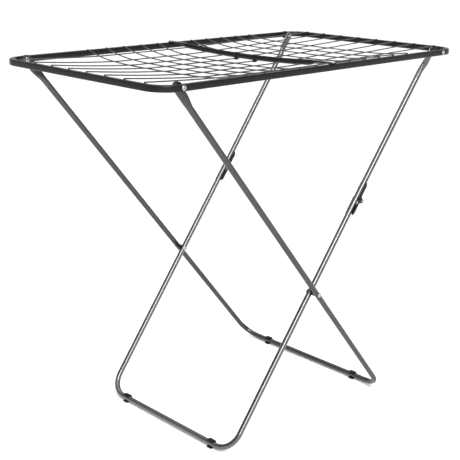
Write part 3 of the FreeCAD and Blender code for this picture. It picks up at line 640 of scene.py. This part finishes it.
def foot_rings(foot, up, square, half_width, steps=16):
    """Round rings from the front arm through both bends and the foot bar to the back arm."""
    rings = []
    for side, order in ((FRONT, range(steps)), (BACK, range(steps - 1, -1, -1))):
        middle = foot + up * BEND + Y * side * (half_width - BEND)
        for k in order:
            angle = QUARTER * k / (steps - 1)
            spoke = Y * side * math.cos(angle) - up * math.sin(angle)
            rings.append((middle + spoke * BEND, spoke))
    return [ring_at(place, spoke, square, TUBE, TUBE, TUBE * FULLY_ROUND) for place, spoke in rings]


def outer_half(reach):
    """The outer leg's arms are parallel."""
    return OUTER_HALF


def make_outer_leg():
    """One tube: both flattened arms, both bends and the foot bar."""
    up, square = leg_axes(OUTER_FOOT, OUTER_HINGE)
    length = (OUTER_HINGE - OUTER_FOOT).length
    stops = arm_stops(BEND, length)[1:]
    rings = arm_rings(OUTER_FOOT, up, square, outer_half, FRONT, reversed(stops), length)
    rings += foot_rings(OUTER_FOOT, up, square, OUTER_HALF)
    rings += arm_rings(OUTER_FOOT, up, square, outer_half, BACK, stops, length)
    shell = Shell()
    shell.loft(rings)
    add_piece("outer_leg_tube", shell, OUTER_LEG_PAINT_AND_SHADE, "outer_leg", "outer_leg")


INNER_UP, INNER_SQUARE = leg_axes(INNER_FOOT, INNER_HINGE)
INNER_LENGTH = (INNER_HINGE - INNER_FOOT).length
KNEE_REACH = (KNEE_PIN - INNER_FOOT).dot(INNER_UP)
KNEE_GAP = 0.2 * MM
KNEE = INNER_FOOT + INNER_UP * KNEE_REACH
LOWER_ARM_RINGS = 20
NEVER_FLAT = 10


def inner_half(reach):
    """The inner leg's arms lean outwards from the foot bar to the knee and on to the flat ends."""
    if reach < KNEE_REACH:
        return mix(INNER_FOOT_HALF, INNER_KNEE_HALF, (reach - BEND) / (KNEE_REACH - BEND))
    taper_start = INNER_LENGTH - TAB_LENGTH - TAPER_LENGTH
    share = min(1.0, (reach - KNEE_REACH) / (taper_start - KNEE_REACH))
    return mix(INNER_KNEE_HALF, INNER_HINGE_HALF, share)


def make_inner_leg_lower():
    """One tube, round up to both knees: the length given is past them, so no ring is flattened."""
    stops = spread(BEND, KNEE_REACH - KNEE_GAP, LOWER_ARM_RINGS)[1:]
    length = NEVER_FLAT * INNER_LENGTH
    rings = arm_rings(INNER_FOOT, INNER_UP, INNER_SQUARE, inner_half, FRONT, reversed(stops), length)
    rings += foot_rings(INNER_FOOT, INNER_UP, INNER_SQUARE, INNER_FOOT_HALF)
    rings += arm_rings(INNER_FOOT, INNER_UP, INNER_SQUARE, inner_half, BACK, stops, length)
    shell = Shell()
    shell.loft(rings)
    add_piece("inner_leg_lower_tube", shell, INNER_LEG_PAINT, "inner_leg_lower",
              "inner_leg_lower")


def make_inner_leg_upper(label, side):
    """One arm from the knee to its flattened end."""
    stops = arm_stops(KNEE_REACH + KNEE_GAP, INNER_LENGTH)
    shell = Shell()
    shell.loft(arm_rings(INNER_FOOT, INNER_UP, INNER_SQUARE, inner_half, side, stops, INNER_LENGTH))
    add_piece(f"inner_leg_upper_tube_{label}", shell, INNER_LEG_PAINT, "inner_leg_upper",
              f"inner_leg_upper_{label}")


# ------------------------------------------------------------ rivets and spacers

BIG_HEAD = (5.5 * MM, 1.6 * MM)
SMALL_HEAD = (3.2 * MM, 1 * MM)
SHANK = 3 * MM
THIN_SHANK = 2.5 * MM
BRACKET_SHANK = 2 * MM
BRIGHT = (RIVET_STEEL, "rivet_steel")
BLACKENED = (BRACKET_PAINT, "bracket_paint")
NEARLY_CLOSED = 0.02
HEAD_PROFILE = ((0.62, NEARLY_CLOSED), (0.60, 0.24), (0.98, 0.34), (1.0, 0.52),
                (0.82, 0.78), (0.45, 0.95), (0.12, 1.0))


def make_rivet(node, body, axis, shank, ends=(FRONT, BACK), size=BIG_HEAD, look=BRIGHT):
    """A rivet with low domed heads, each with the dimple that the setting tool leaves."""
    low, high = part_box(node)
    middle = (low + high) / 2
    start, end = low.dot(axis), high.dot(axis)
    base = middle - axis * (middle.dot(axis) - start)
    length = end - start
    radius, height = size
    head = [(share * height, width * radius) for share, width in HEAD_PROFILE]
    if FRONT in ends:
        profile = [(height - lift, width) for lift, width in head] + [(height, radius), (height, shank)]
    else:
        profile = [(0, shank * NEARLY_CLOSED), (0, shank)]
    if BACK in ends:
        profile += [(length - height, shank), (length - height, radius)]
        profile += [(length - height + lift, width) for lift, width in reversed(head)]
    else:
        profile += [(length, shank), (length, shank * NEARLY_CLOSED)]
    shell = Shell()
    shell.lathe(profile, base, axis)
    material, slot = look
    add_piece(node + "_set", shell, material, body, node, sharp=SHARP_ON_SMALL_PARTS)


CROSSING_SPACER = 6 * MM
HINGE_SPACER = 9.8 * MM
BORE = 3.05 * MM
CHAMFER = 0.6 * MM
SEAT_GAP = 0.05 * MM


def make_hinge_spacer(node, body):
    """A plain bush with chamfered edges between a leg's flattened end and its rail."""
    low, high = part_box(node)
    base = Vector(((low.x + high.x) / 2, low.y, (low.z + high.z) / 2))
    length = high.y - low.y
    edge = HINGE_SPACER - CHAMFER
    profile = [(0, BORE), (0, edge), (CHAMFER, HINGE_SPACER), (length - CHAMFER, HINGE_SPACER),
               (length, edge), (length, BORE)]
    shell = Shell()
    shell.bush(profile, base, Y)
    add_piece(node + "_bush", shell, BLACK_PLASTIC, body, node)


def make_crossing_spacer(label, side, steps=32):
    """A bush whose outer end is hollowed to sit on the outer leg's tube."""
    node = f"crossing_spacer_{label}"
    low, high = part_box(node)
    base = Vector(((low.x + high.x) / 2, low.y if side == BACK else high.y, (low.z + high.z) / 2))
    reach = side * OUTER_HALF - base.y
    square = leg_axes(OUTER_FOOT, OUTER_HINGE)[1]
    near_end = ((BORE, 0.0), (CROSSING_SPACER - CHAMFER, 0.0), (CROSSING_SPACER, CHAMFER))
    rings = []
    for k in range(steps):
        angle = 2 * math.pi * k / steps
        spoke = X * math.cos(angle) + Z * math.sin(angle)
        ring = [base + spoke * radius + Y * side * lift for radius, lift in near_end]
        for radius in (CROSSING_SPACER, BORE):
            off_axis = radius * spoke.dot(square)
            depth = abs(reach) - math.sqrt((TUBE + SEAT_GAP) ** 2 - off_axis ** 2)
            ring.append(base + spoke * radius + Y * side * depth)
        rings.append(ring)
    shell = Shell()
    shell.loft(rings, closed=True)
    add_piece(node + "_bush", shell, BLACK_PLASTIC, "outer_leg", node)


# ------------------------------------------------------------ the knee brackets

SHEET = 1.5 * MM
BRACKET_LAP = 3 * MM
BRACKET_LENGTH = 46 * MM
BRACKET_CHAMFER = 6 * MM
CHEEK_EDGE = 0.2 * MM
WEB_START = 12 * MM
WEB_MIDDLE = 7.95 * MM
EAR = 5.5 * MM
EAR_START = 195
EAR_TURN = 210
EAR_STEPS = 12
FOLD = 2 * MM
FOLD_STEPS = 6
SHEET_EDGE = 0.35 * MM
TIP_BEVEL = 1.2 * MM
TIP_CORNER = 0.3 * MM
TIP_CORNER_RISE = 0.5 * MM
TIP_RISE = 2 * MM
EAR_FOOT = 8.5 * MM
WEB_SLOPE_ALONG = 2.5 * MM
WEB_SLOPE_UP = 2.2 * MM


def cheek_outline(ear_reach):
    """One cheek, as (along the tube, towards the pin) pairs from the web's far end to its near end."""
    fold_start = WEB_MIDDLE - FOLD
    tip = BRACKET_LENGTH
    points = [(tip - BRACKET_CHAMFER, fold_start), (tip - TIP_BEVEL, TUBE / 2), (tip, TIP_RISE),
              (tip - TIP_CORNER, CHEEK_EDGE + TIP_CORNER_RISE), (tip - TIP_BEVEL, CHEEK_EDGE),
              (-BRACKET_LAP, CHEEK_EDGE), (-BRACKET_LAP, EAR_FOOT)]
    for k in range(EAR_STEPS + 1):
        angle = math.radians(EAR_START - EAR_TURN * k / EAR_STEPS)
        points.append((EAR * math.cos(angle), ear_reach + EAR * math.sin(angle)))
    points.append((WEB_START - WEB_SLOPE_ALONG, fold_start + WEB_SLOPE_UP))
    points.append((WEB_START, fold_start))
    return points


def thicken_sheet(piece):
    """Turn the folded surface into sheet with softened edges, and keep the result as its mesh."""
    thicken = piece.modifiers.new("thicken", "SOLIDIFY")
    thicken.thickness = SHEET
    thicken.offset = 0
    soften = piece.modifiers.new("soften", "BEVEL")
    soften.width = SHEET_EDGE
    soften.segments = 2
    soften.limit_method = "ANGLE"
    soften.angle_limit = math.radians(SHARP)
    seen = piece.evaluated_get(bpy.context.evaluated_depsgraph_get())
    finished = bpy.data.meshes.new_from_object(seen)
    piece.modifiers.clear()
    piece.data = finished
    finished.shade_smooth()
    finished.set_sharp_from_angle(angle=math.radians(SHARP))
    finished.materials.append(BRACKET_PAINT)


def make_knee_bracket(which, label, side, body):
    """Folded sheet: two cheeks with ears, joined by a web over the tube."""
    node = f"knee_bracket_{which}_{label}"
    along = INNER_UP if which == "upper" else -INNER_UP
    out = -INNER_SQUARE if INNER_SQUARE.dot(KNEE_PIN - KNEE) < 0 else INNER_SQUARE
    ear_reach = (KNEE_PIN - KNEE).length
    half = extent(node).y / 2 - SHEET / 2
    origin = KNEE + Y * side * INNER_KNEE_HALF
    outline = cheek_outline(ear_reach)
    mesh = bpy.data.meshes.new(node)
    shape = bmesh.new()

    def point(s, t, w):
        return shape.verts.new(origin + along * s + out * t + Y * w)

    cheeks = []
    for w in (half, -half):
        corners = [point(s, t, w) for s, t in outline]
        shape.faces.new(corners if w > 0 else corners[::-1])
        cheeks.append(corners)
    folds = ((1, range(1, FOLD_STEPS + 1)), (-1, range(FOLD_STEPS - 1, 0, -1)))
    rows = []
    for s, index in ((BRACKET_LENGTH - BRACKET_CHAMFER, 0), (WEB_START, -1)):
        row = [cheeks[0][index]]
        for sign, order in folds:
            for k in order:
                angle = QUARTER * k / FOLD_STEPS
                w = sign * (half - FOLD + FOLD * math.cos(angle))
                t = WEB_MIDDLE - FOLD + FOLD * math.sin(angle)
                row.append(point(s, t, w))
        row.append(cheeks[1][index])
        rows.append(row)
    for k in range(len(rows[0]) - 1):
        shape.faces.new((rows[0][k], rows[0][k + 1], rows[1][k + 1], rows[1][k]))
    bmesh.ops.recalc_face_normals(shape, faces=shape.faces)
    shape.to_mesh(mesh)
    shape.free()
    piece = bpy.data.objects.new(node + "_plate", mesh)
    bpy.context.scene.collection.objects.link(piece)
    thicken_sheet(piece)
    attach(piece, body)
    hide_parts(node)


# ------------------------------------------------------------ feet and clips

FOOT_OUTER = 11.2 * MM
FOOT_INNER = 7.05 * MM
FOOT_HALF = 7.5 * MM
FOOT_MOUTH = math.radians(46)
FOOT_EDGE = 0.7 * MM
FOOT_LIP = 1.6 * MM
LIP_STEPS = 3
LIP_CURVE = 1.5


def make_foot(node, body, axis_at, steps=40):
    """A snap-on clip: a C round the foot bar, flat underneath, with flared lips at its mouth."""
    middle = Vector((axis_at.x, centre(node).y, axis_at.z))
    rings = []
    for k in range(steps + 1):
        angle = mix(math.pi - FOOT_MOUTH, FOOT_MOUTH - math.pi, k / steps)
        spoke = X * math.cos(angle) + Z * math.sin(angle)
        outer = FOOT_OUTER
        if spoke.z < 0:
            outer = min(outer, axis_at.z / -spoke.z)
        to_end = min(k, steps - k)
        flare = FOOT_LIP * max(0.0, 1 - to_end / LIP_STEPS) ** LIP_CURVE
        inner = FOOT_INNER + flare
        outer += flare
        rings.append(ring_at(middle + spoke * (inner + outer) / 2, spoke, Y,
                             (outer - inner) / 2, FOOT_HALF, FOOT_EDGE, FINE_STEPS))
    shell = Shell()
    shell.loft(rings)
    add_piece(node + "_clip", shell, BLACK_PLASTIC, body, node,
              sharp=SHARP_ON_SMALL_PARTS)


CLIP_HALF = 3 * MM
CLIP_EDGE = 0.4 * MM
CLIP_PLAY = 0.1 * MM
CLIP_BLOCK_HALF = 5.5 * MM
CLIP_BLOCK_DROP = 0.2 * MM
CLIP_BLOCK_ROUND = 1.0 * MM
CLIP_END_SCALE = 0.9


def make_wire_clips(steps=40):
    """Two plastic clips: a band round the crossbar and a block below that takes a wire."""
    low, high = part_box("wire_clips")
    band_outer = (high.x - low.x) / 2
    band_inner = CROSSBAR_RADIUS + CLIP_PLAY
    width = 2 * CLIP_HALF
    band = [(0, band_inner), (0, band_outer - CLIP_EDGE), (CLIP_EDGE, band_outer),
            (width - CLIP_EDGE, band_outer), (width, band_outer - CLIP_EDGE), (width, band_inner)]
    block = ((-CLIP_HALF, CLIP_END_SCALE), (-CLIP_HALF + CLIP_EDGE, 1.0),
             (CLIP_HALF - CLIP_EDGE, 1.0), (CLIP_HALF, CLIP_END_SCALE))
    shell = Shell()
    for y in (low.y + CLIP_HALF, high.y - CLIP_HALF):
        bar = Vector((CROSSBAR_X, y - CLIP_HALF, crossbar_height(y)))
        shell.bush(band, bar, Y, steps)
        block_high = bar.z - CROSSBAR_RADIUS - CLIP_BLOCK_DROP
        half_z = (block_high - low.z) / 2
        middle = Vector((CROSSBAR_X, y, (block_high + low.z) / 2))
        shell.loft([ring_at(middle + Y * reach, X, Z, CLIP_BLOCK_HALF * scale, half_z * scale,
                            CLIP_BLOCK_ROUND, FINE_STEPS) for reach, scale in block])
    add_piece("wire_clip_pair", shell, BLACK_PLASTIC, "top_frame", "wire_clips",
              sharp=SHARP_ON_SMALL_PARTS)


# ------------------------------------------------------------ all the pieces

make_top_rail()
make_long_wires()
make_cross_wires("cross_wires_left", LEFT_PLACES)
make_cross_wires("cross_wires_right", RIGHT_PLACES)
make_crossbar()
make_wire_clips()
make_outer_leg()
make_inner_leg_lower()
for label, side in SIDES.items():
    make_rivet(f"crossbar_rivet_{label}", "top_frame", Z, THIN_SHANK, ends=(BACK,))
    for leg in ("outer", "inner"):
        make_hinge_spacer(f"hinge_spacer_{leg}_{label}", "top_frame")
        make_rivet(f"hinge_rivet_{leg}_{label}", "top_frame", Y, SHANK)
    make_crossing_spacer(label, side)
    make_rivet(f"crossing_rivet_outer_{label}", "outer_leg", Y, SHANK, ends=(side,))
    make_rivet(f"crossing_rivet_inner_{label}", "inner_leg_lower", Y, SHANK, ends=(-side,))
    make_inner_leg_upper(label, side)
    make_knee_bracket("upper", label, side, "inner_leg_upper")
    make_knee_bracket("lower", label, side, "inner_leg_lower")
    make_rivet(f"knee_pin_{label}", "inner_leg_lower", Y, SHANK, size=SMALL_HEAD)
    for half in ("upper", "lower"):
        make_rivet(f"bracket_rivet_{half}_{label}", f"inner_leg_{half}", Y, BRACKET_SHANK,
                   size=SMALL_HEAD, look=BLACKENED)
    make_foot(f"foot_outer_{label}", "outer_leg", OUTER_FOOT)
    make_foot(f"foot_inner_{label}", "inner_leg_lower", INNER_FOOT)

# ------------------------------------------------------------ floor and light

FLOOR_HALF = 40.0
AIM = Vector((0, 0, 0.5))
SOFT_BOX_OFFSET = Vector((-2.6, -4.0, 3.6))
SOFT_BOX_LENGTH = 4.6
SOFT_BOX_WIDTH = 1.7
SOFT_BOX_POWER = 520
CEILING_STRENGTH = 2.7
CEILING_SPREAD = 90
FADE = {"From Min": 0.18, "From Max": 0.45, "To Min": 1.0, "To Max": 0.20}


def make_floor():
    """A large plain floor."""
    mesh = bpy.data.meshes.new("floor")
    corners = [(sx * FLOOR_HALF, sy * FLOOR_HALF, 0) for sx, sy in CORNERS]
    mesh.from_pydata(corners, [], [(0, 1, 2, 3)])
    mesh.materials.append(floor_paint("floor_paint"))
    floor = bpy.data.objects.new("floor", mesh)
    bpy.context.scene.collection.objects.link(floor)


def strip_light(name, place, target, along, length, width, power):
    """A long soft box aimed at a point, its long side turned along a direction."""
    data = bpy.data.lights.new(name, "AREA")
    data.shape = "RECTANGLE"
    data.size = length
    data.size_y = width
    data.energy = power
    light = bpy.data.objects.new(name, data)
    back = (place - target).normalized()
    across = (along - back * along.dot(back)).normalized()
    turn = Matrix((across, back.cross(across), back)).transposed().to_4x4()
    light.matrix_world = Matrix.Translation(place) @ turn
    bpy.context.scene.collection.objects.link(light)


def overhead_sun(name, strength, spread_angle):
    """Even light from above, as from a wide lit ceiling."""
    data = bpy.data.lights.new(name, "SUN")
    data.energy = strength
    data.angle = math.radians(spread_angle)
    light = bpy.data.objects.new(name, data)
    bpy.context.scene.collection.objects.link(light)


def make_studio():
    """White walls that fade into a dimmer ceiling, by the sine of the height angle."""
    world = bpy.data.worlds.new("studio")
    world.use_nodes = True
    tree = world.node_tree
    direction = tree.nodes.new("ShaderNodeTexCoord").outputs["Generated"]
    split = tree.nodes.new("ShaderNodeSeparateXYZ")
    fade = tree.nodes.new("ShaderNodeMapRange")
    fade.interpolation_type = "SMOOTHSTEP"
    for socket, number in FADE.items():
        fade.inputs[socket].default_value = number
    tree.links.new(direction, split.inputs["Vector"])
    tree.links.new(split.outputs["Z"], fade.inputs["Value"])
    tree.links.new(fade.outputs["Result"], tree.nodes["Background"].inputs["Strength"])
    tree.nodes["Background"].inputs["Color"].default_value = (1, 1, 1, 1)
    bpy.context.scene.world = world


make_floor()
make_studio()
overhead_sun("overhead", CEILING_STRENGTH, CEILING_SPREAD)
strip_light("front_box", AIM + SOFT_BOX_OFFSET, AIM, INNER_UP, SOFT_BOX_LENGTH, SOFT_BOX_WIDTH,
            SOFT_BOX_POWER)
bpy.context.scene.view_settings.view_transform = "Standard"
